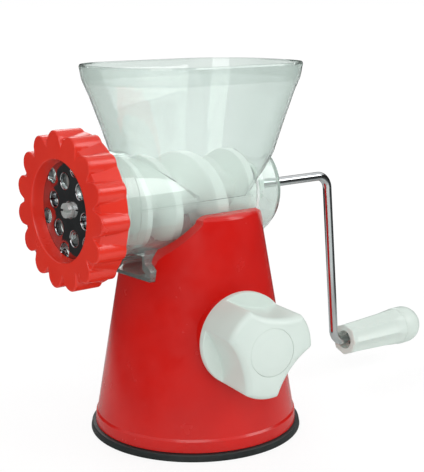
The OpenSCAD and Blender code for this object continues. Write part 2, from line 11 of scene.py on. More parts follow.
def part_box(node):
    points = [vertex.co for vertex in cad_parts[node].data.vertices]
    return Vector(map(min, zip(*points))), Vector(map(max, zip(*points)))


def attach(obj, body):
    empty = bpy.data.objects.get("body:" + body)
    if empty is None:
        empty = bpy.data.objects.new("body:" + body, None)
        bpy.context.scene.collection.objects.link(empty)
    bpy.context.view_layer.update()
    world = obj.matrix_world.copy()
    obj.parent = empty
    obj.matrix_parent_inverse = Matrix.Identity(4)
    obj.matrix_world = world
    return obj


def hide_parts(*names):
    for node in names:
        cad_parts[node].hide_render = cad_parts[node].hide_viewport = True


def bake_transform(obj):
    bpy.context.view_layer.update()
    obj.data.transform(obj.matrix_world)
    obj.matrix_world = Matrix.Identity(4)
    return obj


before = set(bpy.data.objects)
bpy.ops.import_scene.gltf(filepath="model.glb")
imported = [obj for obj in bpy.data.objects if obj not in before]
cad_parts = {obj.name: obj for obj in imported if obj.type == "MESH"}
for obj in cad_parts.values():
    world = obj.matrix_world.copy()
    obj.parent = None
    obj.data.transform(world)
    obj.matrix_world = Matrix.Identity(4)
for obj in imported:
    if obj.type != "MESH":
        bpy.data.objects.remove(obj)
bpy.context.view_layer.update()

bl_info = {
    "name": "Hand Crank Meat Grinder",
    "version": (1, 0, 0),
    "blender": (4, 5, 0),
    "location": "View3D > Sidebar > Meat Grinder",
    "description": "Builds the visible pieces of a hand crank meat grinder around its frame",
    "category": "Object",
}

MM = 0.001
TURN = 2 * math.pi
AXIS_Z = 156.0  # height of the barrel's axis
GRIP_Z = 30.0  # height of the grip's axis
LOCK_Z = 74.8  # height of the lock shaft
LOCK_AZ = math.radians(9.5)  # the lock shaft leans from -Y towards -X by this


# ---------------------------------------------------------------- meshes

def smooth_piece(name, verts_mm, faces, material, crease=35.0):
    """A closed mesh piece from points in millimetres, shaded smooth up to the crease angle."""
    mesh = bpy.data.meshes.new(name)
    mesh.from_pydata((np.asarray(verts_mm, float) * MM).tolist(), [], [list(f) for f in faces])
    bm = bmesh.new()
    bm.from_mesh(mesh)
    bmesh.ops.remove_doubles(bm, verts=bm.verts, dist=2e-6)
    bmesh.ops.dissolve_degenerate(bm, edges=bm.edges, dist=1e-6)
    bmesh.ops.recalc_face_normals(bm, faces=bm.faces)
    bm.to_mesh(mesh)
    bm.free()
    piece = bpy.data.objects.new(name, mesh)
    bpy.context.scene.collection.objects.link(piece)
    shade(piece, crease)
    piece.data.materials.append(material)
    return piece


def shade(piece, crease=35.0):
    mesh = piece.data
    mesh.polygons.foreach_set("use_smooth", [True] * len(mesh.polygons))
    mesh.set_sharp_from_angle(angle=math.radians(crease))


def grid_faces(rows, columns, wrap_rows=False):
    """Faces between rows of points that close round, and from the last row to the first if wrap_rows."""
    faces = []
    for i in range(rows if wrap_rows else rows - 1):
        for j in range(columns):
            here, above, beside = i * columns, ((i + 1) % rows) * columns, (j + 1) % columns
            faces.append((here + j, here + beside, above + beside, above + j))
    return faces


def turned(profile, steps=128, radius_at=None):
    """Points and faces of a profile [(along, radius), ...] turned about +Z.
    radius_at(along, radius, angles) may change the radius round the turn."""
    angles = np.arange(steps) * TURN / steps
    verts = []
    for along, radius in profile:
        r = np.full(steps, float(radius)) if radius_at is None else radius_at(along, float(radius), angles)
        verts.append(np.stack([r * np.cos(angles), r * np.sin(angles), np.full(steps, float(along))], -1))
    return np.concatenate(verts), grid_faces(len(profile), steps)


def along_x(points, z=AXIS_Z):
    """Turns points made about +Z so that their axis is +X at height z."""
    p = np.asarray(points, float)
    return np.stack([p[:, 2], p[:, 1], z - p[:, 0]], -1)


def on_lock(points):
    """Turns points made about +Z so that their axis is the lock shaft, pointing out to the knob."""
    p = np.asarray(points, float)
    c, s = math.cos(LOCK_AZ), math.sin(LOCK_AZ)
    x, y = p[:, 0], -p[:, 2]
    return np.stack([x * c + y * s, -x * s + y * c, p[:, 1] + LOCK_Z], -1)


def fillet(points, radii, steps=5):
    """Rounds the corners of an open polyline [(a, b), ...] by the radii given for its inner points."""
    out = [points[0]]
    for i in range(1, len(points) - 1):
        p, a, b = (np.array(points[k], float) for k in (i, i - 1, i + 1))
        radius = radii[i] if isinstance(radii, (list, tuple)) else radii
        if radius <= 0:
            out.append(tuple(p))
            continue
        u, v = a - p, b - p
        lu, lv = np.linalg.norm(u), np.linalg.norm(v)
        u, v = u / lu, v / lv
        half = math.acos(max(-1, min(1, float(u @ v)))) / 2
        cut = min(radius / math.tan(half), 0.45 * lu, 0.45 * lv) if half > 1e-3 else 0
        start, stop = p + u * cut, p + v * cut
        for k in range(steps + 1):
            t = k / steps
            out.append(tuple((1 - t) ** 2 * start + 2 * t * (1 - t) * p + t ** 2 * stop))
    out.append(points[-1])
    return out


def joined(operation, base, *others):
    """Boolean of temporary objects: the result replaces the base's mesh, the others are removed."""
    for other in others:
        modifier = base.modifiers.new("cut", "BOOLEAN")
        modifier.operation, modifier.solver, modifier.object = operation, "EXACT", other
        bpy.context.view_layer.update()
        mesh = bpy.data.meshes.new_from_object(base.evaluated_get(bpy.context.evaluated_depsgraph_get()))
        base.modifiers.clear()
        base.data = mesh
        bpy.data.objects.remove(other)
    return base


# ---------------------------------------------------------------- node trees

def add(tree, kind, settings=None, inputs=None):
    """A node with its settings, and its inputs set to constants or linked to sockets."""
    node = tree.nodes.new(kind)
    for key, value in (settings or {}).items():
        setattr(node, key, value)
    for key, value in (inputs or {}).items():
        if isinstance(value, bpy.types.NodeSocket):
            tree.links.new(value, node.inputs[key])
        else:
            node.inputs[key].default_value = value
    return node


def linear(code):
    """Linear RGBA of an sRGB hex colour."""
    parts = [int(code[i:i + 2], 16) / 255 for i in (1, 3, 5)]
    return tuple(c / 12.92 if c <= 0.04045 else ((c + 0.055) / 1.055) ** 2.4 for c in parts) + (1.0,)


def new_material(name, **sockets):
    material = bpy.data.materials.new(name)
    material.use_nodes = True
    tree = material.node_tree
    shader = tree.nodes["Principled BSDF"]
    for key, value in sockets.items():
        shader.inputs[key.replace("_", " ")].default_value = value
    coords = add(tree, "ShaderNodeTexCoord").outputs["Object"]
    return material, tree, shader, coords


def noise(tree, coords, size_mm, detail=3.0, stretch=(1, 1, 1)):
    """Noise whose features measure size_mm, stretched along an axis by lowering its scale there."""
    mapping = add(tree, "ShaderNodeMapping", None, {"Vector": coords, "Scale": stretch})
    return add(tree, "ShaderNodeTexNoise", None,
               {"Vector": mapping.outputs[0], "Scale": 1 / (size_mm * MM), "Detail": detail}).outputs["Fac"]


def mapped(tree, value, start, stop, low, high, smooth=True):
    """Value taken from start..stop to low..high, and held beyond the ends."""
    return add(tree, "ShaderNodeMapRange", {"interpolation_type": "SMOOTHSTEP" if smooth else "LINEAR"},
               {"Value": value, "From Min": start, "From Max": stop, "To Min": low, "To Max": high}).outputs[0]


def spread(tree, value, low, high):
    """The middle of a noise's range taken to low..high."""
    return mapped(tree, value, 0.3, 0.7, low, high, smooth=False)


def math_of(tree, operation, a, b, **settings):
    return add(tree, "ShaderNodeMath", {"operation": operation, **settings}, {0: a, 1: b}).outputs[0]


def blended(tree, factor, code_a, code_b):
    node = add(tree, "ShaderNodeMix", {"data_type": "RGBA"}, {0: factor})
    node.inputs[6].default_value, node.inputs[7].default_value = linear(code_a), linear(code_b)
    return node.outputs[2]


def relief(tree, shader, height, strength, depth_mm):
    bump = add(tree, "ShaderNodeBump", None, {"Height": height, "Strength": strength, "Distance": depth_mm * MM})
    tree.links.new(bump.outputs[0], shader.inputs["Normal"])


def moulded_plastic(name, code, code_worn, rough, peel_mm=4.0, **sockets):
    """Injection-moulded plastic: even colour with faint flow shading, a gloss that varies where hands
    touch it, and a very shallow ripple from the mould's skin."""
    material, tree, shader, coords = new_material(name, **sockets)
    flow = noise(tree, coords, 38.0, 2.0)
    colour = blended(tree, spread(tree, flow, 0, 1), code, code_worn)
    tree.links.new(colour, shader.inputs["Base Color"])
    handled = noise(tree, coords, 14.0, 5.0)
    tree.links.new(spread(tree, handled, rough - 0.05, rough + 0.06), shader.inputs["Roughness"])
    relief(tree, shader, noise(tree, coords, peel_mm, 2.0), 0.25, 0.02)
    return material


def glossy_abs():
    # ABS off a polished mould: deep red with sharp reflections that ripple slightly
    return moulded_plastic("red_glossy_abs", "#CC1710", "#C2120C", 0.22, 7.0, IOR=1.5)


def satin_polypropylene():
    # polypropylene: lighter, softer red with a milky gloss, light goes a little way in
    return moulded_plastic("coral_satin_polypropylene", "#DC3323", "#D52C1E", 0.22, 5.0, IOR=1.49)


def white_abs():
    # white ABS from a satin mould: cool white, broad soft highlights
    return moulded_plastic("white_satin_abs", "#D2DED7", "#CBD8D1", 0.34, 3.0, IOR=1.5)


def food_white_acetal():
    # acetal of the auger: whiter and waxier than the outer mouldings
    return moulded_plastic("white_acetal", "#EDF3EF", "#E7EEEA", 0.42, 3.0, IOR=1.48)


def grey_nylon():
    # nylon of the inner pieces: matt grey with a fine grain
    return moulded_plastic("grey_nylon", "#8A8F8E", "#808584", 0.55, 1.5, IOR=1.53)


def clear_polystyrene():
    # crystal polystyrene: clear with a faint green edge tint and fine wiping marks
    material, tree, shader, coords = new_material(
        "clear_polystyrene", IOR=1.45, Transmission_Weight=0.88)
    # seen edge on, the plastic is painted greener and darker: partly for the longer way the light comes through it,
    # partly painted shade for the dark reflections along its edges; the band round the rim is painted darker too
    edge_on = add(tree, "ShaderNodeLayerWeight", None, {"Blend": 0.42}).outputs["Facing"]
    height = add(tree, "ShaderNodeSeparateXYZ", None, {0: coords}).outputs["Z"]
    band = mapped(tree, height, 0.2280, 0.2290, 0.0, 0.3, smooth=False)
    edge_tint_and_painted_shade = math_of(tree, "ADD", edge_on, band, use_clamp=True)
    tree.links.new(blended(tree, edge_tint_and_painted_shade, "#EAF1EE", "#C6D1CC"), shader.inputs["Base Color"])
    wiped = noise(tree, coords, 6.0, 6.0, (1, 1, 4))
    tree.links.new(spread(tree, wiped, 0.0, 0.06), shader.inputs["Roughness"])
    return material


def suction_rubber():
    # soft vulcanised rubber: near black with a green cast, dull, dusty along its edge
    material, tree, shader, coords = new_material("suction_rubber", IOR=1.52)
    dust = noise(tree, coords, 5.0, 6.0)
    tree.links.new(blended(tree, spread(tree, dust, 0, 1), "#0C1313", "#182323"), shader.inputs["Base Color"])
    tree.links.new(spread(tree, dust, 0.45, 0.62), shader.inputs["Roughness"])
    relief(tree, shader, noise(tree, coords, 1.2, 3.0), 0.3, 0.05)
    return material


def metal(name, code, code_dark, rough_low, rough_high, grain_mm, stretch, lay, depth_mm=0.004):
    """A metal whose roughness and relief follow its tool marks, drawn along one axis by stretch."""
    material, tree, shader, coords = new_material(name, Metallic=1.0)
    grain = noise(tree, coords, grain_mm, 4.0, stretch)
    tree.links.new(blended(tree, spread(tree, noise(tree, coords, lay, 3.0), 0, 1), code, code_dark),
                   shader.inputs["Base Color"])
    tree.links.new(spread(tree, grain, rough_low, rough_high), shader.inputs["Roughness"])
    relief(tree, shader, grain, 0.2, depth_mm)
    return material


def bright_chrome():
    # chrome plate on drawn rod: a mirror with faint drawing lines along X and Z
    return metal("bright_chrome_plate", "#D9DCDD", "#C9CDCF", 0.04, 0.10, 1.5, (0.2, 1, 0.2), 20.0, 0.002)


def ground_stainless():
    # stainless ground on its faces: grey metal with short grinding lines
    return metal("ground_stainless", "#B9BCBD", "#A4A8AA", 0.18, 0.34, 0.8, (1, 0.15, 1), 8.0)


def cast_stainless():
    # stainless cast and blasted: pale satin that scatters the light, soft along its edges
    material = metal("cast_stainless", "#E3E8E6", "#C9D0CD", 0.38, 0.52, 0.6, (1, 1, 1), 5.0, 0.01)
    material.node_tree.nodes["Principled BSDF"].inputs["Metallic"].default_value = 0.6
    return material


def polished_stainless():
    # stainless polished flat: dark mirror that picks up what faces it
    return metal("polished_stainless", "#C2C4C6", "#AEB1B4", 0.06, 0.14, 1.2, (1, 0.3, 1), 10.0, 0.002)


def zinc_plate():
    # zinc-plated steel: pale grey with soft mottling
    return metal("zinc_plated_steel", "#C0C3C2", "#A9ADAE", 0.28, 0.42, 2.0, (1, 1, 1), 6.0)


FINISHES = {}


def finish_of(kind):
    """The one material of each kind, made when it is first asked for."""
    if kind.__name__ not in FINISHES:
        FINISHES[kind.__name__] = kind()
    return FINISHES[kind.__name__]


def place(piece, body, slot, *nodes):
    """Rides the piece on its body and hides the frame nodes that it stands for; the slot is not used."""
    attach(piece, body)
    if nodes:
        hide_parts(*nodes)


# ---------------------------------------------------------------- sizes

def length(name, about, default):
    """A size in millimetres that a user may change."""
    return bpy.props.FloatProperty(name=name, description=about + ", mm", default=default)


class GrinderBodySizes(bpy.types.PropertyGroup):
    mouth_half_x: length("Mouth half length", "Half the hopper mouth's length", 71.0)
    mouth_half_y: length("Mouth half width", "Half the hopper mouth's width", 50.5)
    mouth_corner: length("Mouth corner", "Corner radius of the hopper's mouth", 40.0)
    rim_top: length("Rim height", "Height of the hopper's rim", 239.6)
    band_h: length("Rim band", "Height of the band round the rim", 10.8)
    wall: length("Hopper wall", "Wall of the hopper", 1.8)
    barrel_r: length("Barrel radius", "Outer radius of the barrel", 32.0)
    barrel_wall: length("Barrel wall", "Wall of the barrel", 3.0)
    front_x: length("Barrel front", "Where the barrel ends at the ring", -92.0)
    rear_x: length("Barrel rear", "Where the barrel ends at the crank", 49.6)
    collar_r: length("Collar radius", "Outer radius of the threaded collar", 37.5)
    thread_pitch: length("Thread pitch", "Pitch of the collar's thread", 4.5)
    thread_depth: length("Thread depth", "Depth of the collar's thread", 1.0)


class AugerSizes(bpy.types.PropertyGroup):
    front_x: length("Auger front", "Front end of the auger", -84.7)
    rear_x: length("Auger rear", "Rear end of the flight", 25.0)
    outer_r: length("Flight radius", "Radius over the flight", 28.4)
    core_r: length("Core radius", "Radius of the core", 12.5)
    pitch: length("Flight pitch", "Pitch of the flight under the hopper's middle", 42.0)
    fall: bpy.props.FloatProperty(name="Pitch fall", description="Fall of the pitch for each mm towards the plate",
                                  default=0.44)
    least: length("Least pitch", "Pitch of the flight at the plate", 18.0)


class PlateSizes(bpy.types.PropertyGroup):
    outer_r: length("Plate radius", "Radius of the plate", 33.4)
    hole_r: length("Hole radius", "Radius of the plate's holes", 4.7)
    rim: length("Rim rounding", "Rounding of the holes' rims", 0.8)


class RingSizes(bpy.types.PropertyGroup):
    outer_r: length("Lobe radius", "Radius over the ring's lobes", 48.2)
    notch_r: length("Notch radius", "Radius where the front notches start", 38.4)
    valley_r: length("Valley radius", "Radius between the lobes behind a notch", 43.6)
    valley_rear_r: length("Rear valley radius", "Radius between the lobes at the rear", 46.3)
    depth: length("Ring depth", "Depth of the ring along the barrel", 19.2)
    front_x: length("Ring front", "Where the ring's front face lies", -101.8)
    lobes: bpy.props.IntProperty(name="Lobes", description="Number of lobes", default=15)


class PadSizes(bpy.types.PropertyGroup):
    outer_r: length("Pad radius", "Radius of the rubber pad", 70.0)
    rim_h: length("Rim height", "Height of the rim under the foot", 4.6)
    web: length("Web", "Thickness of the pad's web", 3.0)


class KnobSizes(bpy.types.PropertyGroup):
    back: length("Knob back", "Distance of the knob's back from the base's axis", 60.5)
    disc_r: length("Disc radius", "Radius of the knob's disc", 29.6)
    disc: length("Disc depth", "Depth of the knob's disc", 4.8)
    grip: length("Grip depth", "Depth of the three-lobed grip", 30.7)
    scoop_r: length("Scoop radius", "Radius of the finger scoops", 50.0)
    scoop_floor: length("Scoop floor", "Least distance of a scoop from the knob's axis", 20.0)
    scoop_angle: bpy.props.FloatProperty(name="Scoop angle", description="Direction of the first scoop, degrees",
                                         default=79.0)


class CrankSizes(bpy.types.PropertyGroup):
    grip_x: length("Grip start", "Where the grip begins", 140.2)
    grip_len: length("Grip length", "Length of the grip with its cap", 77.0)
    cap_len: length("Cap length", "Length of the grip's domed cap", 22.0)
    grip_r1: length("Grip near radius", "Radius at the arm", 11.6)
    grip_r2: length("Grip far radius", "Radius at the cap", 14.0)
    flutes: bpy.props.IntProperty(name="Flutes", description="Number of flutes along the grip", default=8)


class StageSizes(bpy.types.PropertyGroup):
    floor: bpy.props.FloatVectorProperty(name="Floor colour", description="Colour of the floor", subtype="COLOR", size=4,
                                         default=linear("#F4F5F5"), min=0, max=1)
    key_power: bpy.props.FloatProperty(name="Key light", description="Strength of the key light, W", default=9.0)
    world: bpy.props.FloatProperty(name="Room light", description="Strength of the room's light", default=0.62)


# ---------------------------------------------------------------- pieces

def rounded_rectangle(half_x, half_y, corner, per_corner=14, per_side=4):
    """Points of a level rounded rectangle, in order, always the same number."""
    points = []
    for quarter in range(4):
        sx, sy = ((1, 1), (-1, 1), (-1, -1), (1, -1))[quarter]
        cx, cy = sx * (half_x - corner), sy * (half_y - corner)
        for k in range(per_corner + 1):
            a = (quarter + k / per_corner) * TURN / 4
            points.append((cx + corner * math.cos(a), cy + corner * math.sin(a)))
        nx, ny = ((-1, 1), (-1, -1), (1, -1), (1, 1))[quarter]
        nxt = (nx * (half_x - corner) + corner * math.cos((quarter + 1) * TURN / 4),
               ny * (half_y - corner) + corner * math.sin((quarter + 1) * TURN / 4))
        last = points[-1]
        for k in range(1, per_side):
            t = k / per_side
            points.append((last[0] + (nxt[0] - last[0]) * t, last[1] + (nxt[1] - last[1]) * t))
    return points


# The hopper under its rim band: height, half length, half width and corner radius, mm
HOPPER_LEVELS = ((156, 39.5, 31.7, 28), (170, 46.5, 35.2, 31), (182, 53.6, 38.3, 34), (190, 56.2, 40.2, 35.5),
                 (200, 59.0, 42.5, 36.5), (210, 62.3, 44.6, 37.5), (220, 65.6, 46.6, 38.5), (228.8, 69.0, 48.7, 39))
BAND_FLARE = 1.4  # how much the band widens from its foot to the rim
RIM_BEVEL = 0.7  # how far the outer edge of the rim is drawn in
LEAST_CORNER = 4  # corner radius that the inset leaves at least


def hopper_loft(s, inset, z_low, z_top):
    """Closed loft of the hopper's outer (inset 0) or inner shape between two heights."""
    band_foot = s.rim_top - s.band_h
    heights, *widths = zip(*HOPPER_LEVELS)
    levels = {z_low, z_top, band_foot + 2.0, s.rim_top - 1.2, *heights}
    rows = []
    for z in sorted(z for z in levels if z_low <= z <= z_top):
        if z > band_foot:
            narrower = BAND_FLARE * (1 - (z - band_foot) / s.band_h)
            hx, hy, c = s.mouth_half_x - narrower, s.mouth_half_y - narrower, s.mouth_corner
            if z >= s.rim_top - 0.05 and inset == 0:
                hx, hy, c = hx - RIM_BEVEL, hy - RIM_BEVEL, c - RIM_BEVEL
        else:
            hx, hy, c = (np.interp(z, heights, width) for width in widths)
        rows.append([(x, y, z) for x, y in rounded_rectangle(hx - inset, hy - inset, max(c - inset, LEAST_CORNER))])
    count = len(rows[0])
    faces = grid_faces(len(rows), count)
    verts = [p for row in rows for p in row]
    faces += [tuple(range(count)), tuple(range((len(rows) - 1) * count, len(rows) * count))]
    return verts, faces


def temporary(name, verts, faces, finish=None):
    return smooth_piece(name, verts, faces, finish_of(finish or clear_polystyrene))


def turned_solid(name, profile, steps=128, finish=None, radius_at=None):
    verts, faces = turned([(profile[0][0], 0.0)] + profile + [(profile[-1][0], 0.0)], steps, radius_at)
    return temporary(name, along_x(verts), faces, finish)


class GRINDER_OT_clear_body(bpy.types.Operator):
    """Builds the clear hopper, barrel and slide rail in one moulding, with the thread for the ring"""
    bl_idname = "grinder.clear_body"
    bl_label = "Clear hopper and barrel"

    def execute(self, context):
        s = context.scene.grinder_body_sizes
        r, bore = s.barrel_r, s.barrel_r - s.barrel_wall
        thread_end = s.front_x + 15

        def threaded(along, radius, angles):
            """One ridge wound round the collar, rising and falling by the thread's depth."""
            if not s.front_x + 1.5 < along < thread_end:
                return np.full(len(angles), radius)
            ridge = np.cos(TURN * (along - s.front_x) / s.thread_pitch + angles)
            ends = min(1.0, along - s.front_x - 1.5, thread_end - along)
            return radius - s.thread_depth * ends * (0.5 - 0.5 * np.clip(ridge * 2, -1, 1))

        lead_in = [(s.front_x, s.collar_r - 1.0), (s.front_x + 0.8, s.collar_r)]
        threads = [(x, s.collar_r) for x in np.arange(s.front_x + 2, thread_end - 0.2, 0.45)]
        steps = fillet(
            [(thread_end, s.collar_r), (s.front_x + 17, s.collar_r), (s.front_x + 18.5, r + 1.6),
             (s.front_x + 27, r + 1.4), (s.front_x + 28.5, r), (26, r), (27, r + 1.8), (s.rear_x - 13, r + 1.8),
             (s.rear_x - 12, r + 0.5), (s.rear_x - 6, r + 0.5), (s.rear_x - 0.2, r - 3.2)],
            [0, 0.8, 0.8, 0.5, 0.5, 0.5, 0.5, 0.5, 0.5, 4, 0], 6)
        barrel = turned_solid("barrel", lead_in + threads + steps, 160, radius_at=threaded)
        hopper = temporary("hopper", *hopper_loft(s, 0, 156.0, s.rim_top))
        body = joined("UNION", barrel, hopper)
        rail = temporary("rail", *rail_solid())
        body = joined("UNION", body, rail)
        for y in (-1, 1):
            across = sorted((y * (r - 0.6), y * (r + 0.7)))
            seam = temporary("seam", *box_solid((s.front_x + 17, 22), across, (155.6, 156.8)))
            body = joined("UNION", body, seam)
        inner = temporary("inner", *hopper_loft(s, s.wall, 156.5, s.rim_top + 1))
        seat = turned_solid("seat", [(s.front_x - 2, 33.7), (s.front_x + 3, 33.7)])
        tube = turned_solid("tube", fillet([(s.front_x + 2, bore), (s.rear_x - 4, bore), (s.rear_x - 4, 0.1)], 1.5))
        hole = turned_solid("hole", [(s.rear_x - 9, 12.05), (s.rear_x + 3, 12.05)])
        hollow = temporary("hollow", *rail_hollow())
        body = joined("DIFFERENCE", body, inner, seat, tube, hole, hollow)
        body.name = body.data.name = "clear_hopper_barrel"
        shade(body, 28.0)
        body.visible_shadow = False  # clear plastic lets the light through to the auger
        place(body, "stand", "clear_plastic", "grinder_body")
        return {"FINISHED"}


def box_solid(xs, ys, zs):
    verts = [(x, y, z) for x in xs for y in ys for z in zs]
    return verts, [(0, 1, 3, 2), (4, 6, 7, 5), (0, 4, 5, 1), (2, 3, 7, 6), (0, 2, 6, 4), (1, 5, 7, 3)]


def prism_x(outline, x0, x1):
    """Solid of a (y, z) outline drawn from x0 to x1."""
    n = len(outline)
    verts = [(x, y, z) for x in (x0, x1) for y, z in outline]
    ends = [tuple(range(n)), tuple(range(n, 2 * n))]
    return verts, ends + [(i, (i + 1) % n, n + (i + 1) % n, n + i) for i in range(n)]


def rail_solid():
    half, neck, low = 18.8, 13.0, 107.8
    right = fillet([(0, low), (half, low), (half, 114.8), (half - 1.5, 116.3), (neck, 118.3), (neck, 135)],
                   [0, 0.8, 0.8, 0.8, 2.5, 0], 3)
    outline = right[1:] + [(-y, z) for y, z in reversed(right[1:])]
    return prism_x(outline, -48.9, 20.0)


def rail_hollow():
    outline = [(-16.3, 110.3), (16.3, 110.3), (10.5, 115), (10.5, 123), (-10.5, 123), (-10.5, 115)]
    return prism_x(outline, -52.0, 17.5)


class GRINDER_OT_auger(bpy.types.Operator):
    """Builds the auger: a core with one rounded flight wound along it, and its journal"""
    bl_idname = "grinder.auger"
    bl_label = "Auger"

    def execute(self, context):
        s = context.scene.grinder_auger_sizes
        tree = auger_tree()
        carrier = bpy.data.objects.new("auger_carrier", bpy.data.meshes.new("auger_carrier"))
        context.scene.collection.objects.link(carrier)
        modifier = carrier.modifiers.new("auger", "NODES")
        modifier.node_group = tree
        given = {"Front": s.front_x * MM, "Rear": s.rear_x * MM, "Outer Radius": s.outer_r * MM,
                 "Core Radius": s.core_r * MM, "Pitch": s.pitch * MM, "Pitch Fall": s.fall, "Least Pitch": s.least * MM,
                 "Axis Height": AXIS_Z * MM, "Finish": finish_of(food_white_acetal)}
        for item in tree.interface.items_tree:
            if item.item_type == "SOCKET" and item.in_out == "INPUT" and item.name in given:
                modifier[item.identifier] = given[item.name]
        context.view_layer.update()
        mesh = bpy.data.meshes.new_from_object(carrier.evaluated_get(context.evaluated_depsgraph_get()))
        bpy.data.objects.remove(carrier)
        flight = bpy.data.objects.new("auger_flight", mesh)
        context.scene.collection.objects.link(flight)
        close_ends(flight)
        shade(flight, 40.0)
        back = 50.6  # where the journal ends in the barrel's rear bush
        front, shoulder = s.rear_x - 1, s.rear_x + 5
        end = fillet([(front, 20), (front, s.outer_r - 1), (shoulder, s.outer_r - 1), (shoulder, 14), (41, 14), (41, 9),
                      (back, 9)], [0, 1, 1.5, 1, 0.8, 0.4, 0], 4)
        verts, faces = turned([(front, 0)] + end + [(back, 0)], 96)
        journal = smooth_piece("auger_journal", along_x(verts), faces, finish_of(food_white_acetal))
        place(flight, "crank", "white_plastic", "auger")
        place(journal, "crank", "white_plastic")
        return {"FINISHED"}


def close_ends(piece):
    """Merges the skin's seam, closes its two open ends and points its faces outwards."""
    bm = bmesh.new()
    bm.from_mesh(piece.data)
    bmesh.ops.remove_doubles(bm, verts=bm.verts, dist=2e-6)
    rim = [e for e in bm.edges if e.is_boundary]
    if rim:
        bmesh.ops.holes_fill(bm, edges=rim, sides=0)
    bmesh.ops.recalc_face_normals(bm, faces=bm.faces)
    bm.to_mesh(piece.data)
    bm.free()


def auger_tree():
    """Grid whose rows run along X and whose columns run round the axis, set on the flight's rule:
    radius = core + (outer - core) * f(angle - turn of x), with f rising and falling smoothly."""
    tree = bpy.data.node_groups.new("auger_flight", "GeometryNodeTree")
    io = tree.interface
    io.new_socket("Geometry", in_out="OUTPUT", socket_type="NodeSocketGeometry")
    for name in ("Front", "Rear", "Outer Radius", "Core Radius", "Pitch", "Pitch Fall", "Least Pitch", "Axis Height"):
        io.new_socket(name, in_out="INPUT", socket_type="NodeSocketFloat")
    io.new_socket("Finish", in_out="INPUT", socket_type="NodeSocketMaterial")
    given = add(tree, "NodeGroupInput").outputs

    def calc(operation, a, b=0.0, c=0.0):
        node = add(tree, "ShaderNodeMath", {"operation": operation}, {0: a, 1: b})
        if operation in ("MULTIPLY_ADD", "SMOOTH_MIN", "SMOOTH_MAX", "WRAP"):
            if isinstance(c, bpy.types.NodeSocket):
                tree.links.new(c, node.inputs[2])
            else:
                node.inputs[2].default_value = c
        return node.outputs[0]

    length = calc("SUBTRACT", given["Rear"], given["Front"])
    rows, columns = 340, 72
    grid = add(tree, "GeometryNodeMeshGrid", None,
               {"Size X": 1.0, "Size Y": 1.0, "Vertices X": rows, "Vertices Y": columns + 1})
    place_in = add(tree, "GeometryNodeInputPosition").outputs[0]
    split = add(tree, "ShaderNodeSeparateXYZ", None, {0: place_in}).outputs
    share = calc("ADD", split["X"], 0.5)
    x = calc("MULTIPLY_ADD", share, length, given["Front"])
    angle = calc("MULTIPLY", split["Y"], TURN)
    # turns of the ridge = ln(pitch at x / pitch) / fall, and evenly on from where the least pitch is reached
    steady = calc("DIVIDE", calc("SUBTRACT", given["Least Pitch"], given["Pitch"]), given["Pitch Fall"])
    pitch_here = calc("MAXIMUM", calc("MULTIPLY_ADD", x, given["Pitch Fall"], given["Pitch"]), given["Least Pitch"])
    falling = calc("DIVIDE", calc("LOGARITHM", calc("DIVIDE", pitch_here, given["Pitch"]), math.e), given["Pitch Fall"])
    even = calc("DIVIDE", calc("MINIMUM", calc("SUBTRACT", x, steady), 0.0), given["Least Pitch"])
    turned_by = calc("ADD", falling, even)
    # phase runs from -0.5 to 0.5 round the core; the ridge faces -Y where it crosses the origin
    phase = calc("WRAP", calc("ADD", calc("ADD", split["Y"], turned_by), 0.25), 0.5, -0.5)
    away = calc("ABSOLUTE", phase)
    rise = mapped(tree, away, 0.255, 0.095, 0.0, 1.0)
    tall = calc("SUBTRACT", given["Outer Radius"], given["Core Radius"])
    radius = calc("MULTIPLY_ADD", rise, tall, given["Core Radius"])
    y = calc("MULTIPLY", radius, calc("SINE", angle))
    z = calc("MULTIPLY_ADD", radius, calc("COSINE", angle), given["Axis Height"])
    where = add(tree, "ShaderNodeCombineXYZ", None, {"X": x, "Y": y, "Z": z}).outputs[0]
    skin = add(tree, "GeometryNodeSetPosition", None, {"Geometry": grid.outputs["Mesh"], "Position": where}).outputs[0]
    welded = add(tree, "GeometryNodeMergeByDistance", None, {"Geometry": skin, "Distance": 1e-6}).outputs[0]
    real = add(tree, "GeometryNodeRealizeInstances", None, {"Geometry": welded}).outputs[0]
    dressed = add(tree, "GeometryNodeSetMaterial", None, {"Geometry": real, "Material": given["Finish"]}).outputs[0]
    add(tree, "NodeGroupOutput", None, {"Geometry": dressed})
    return tree


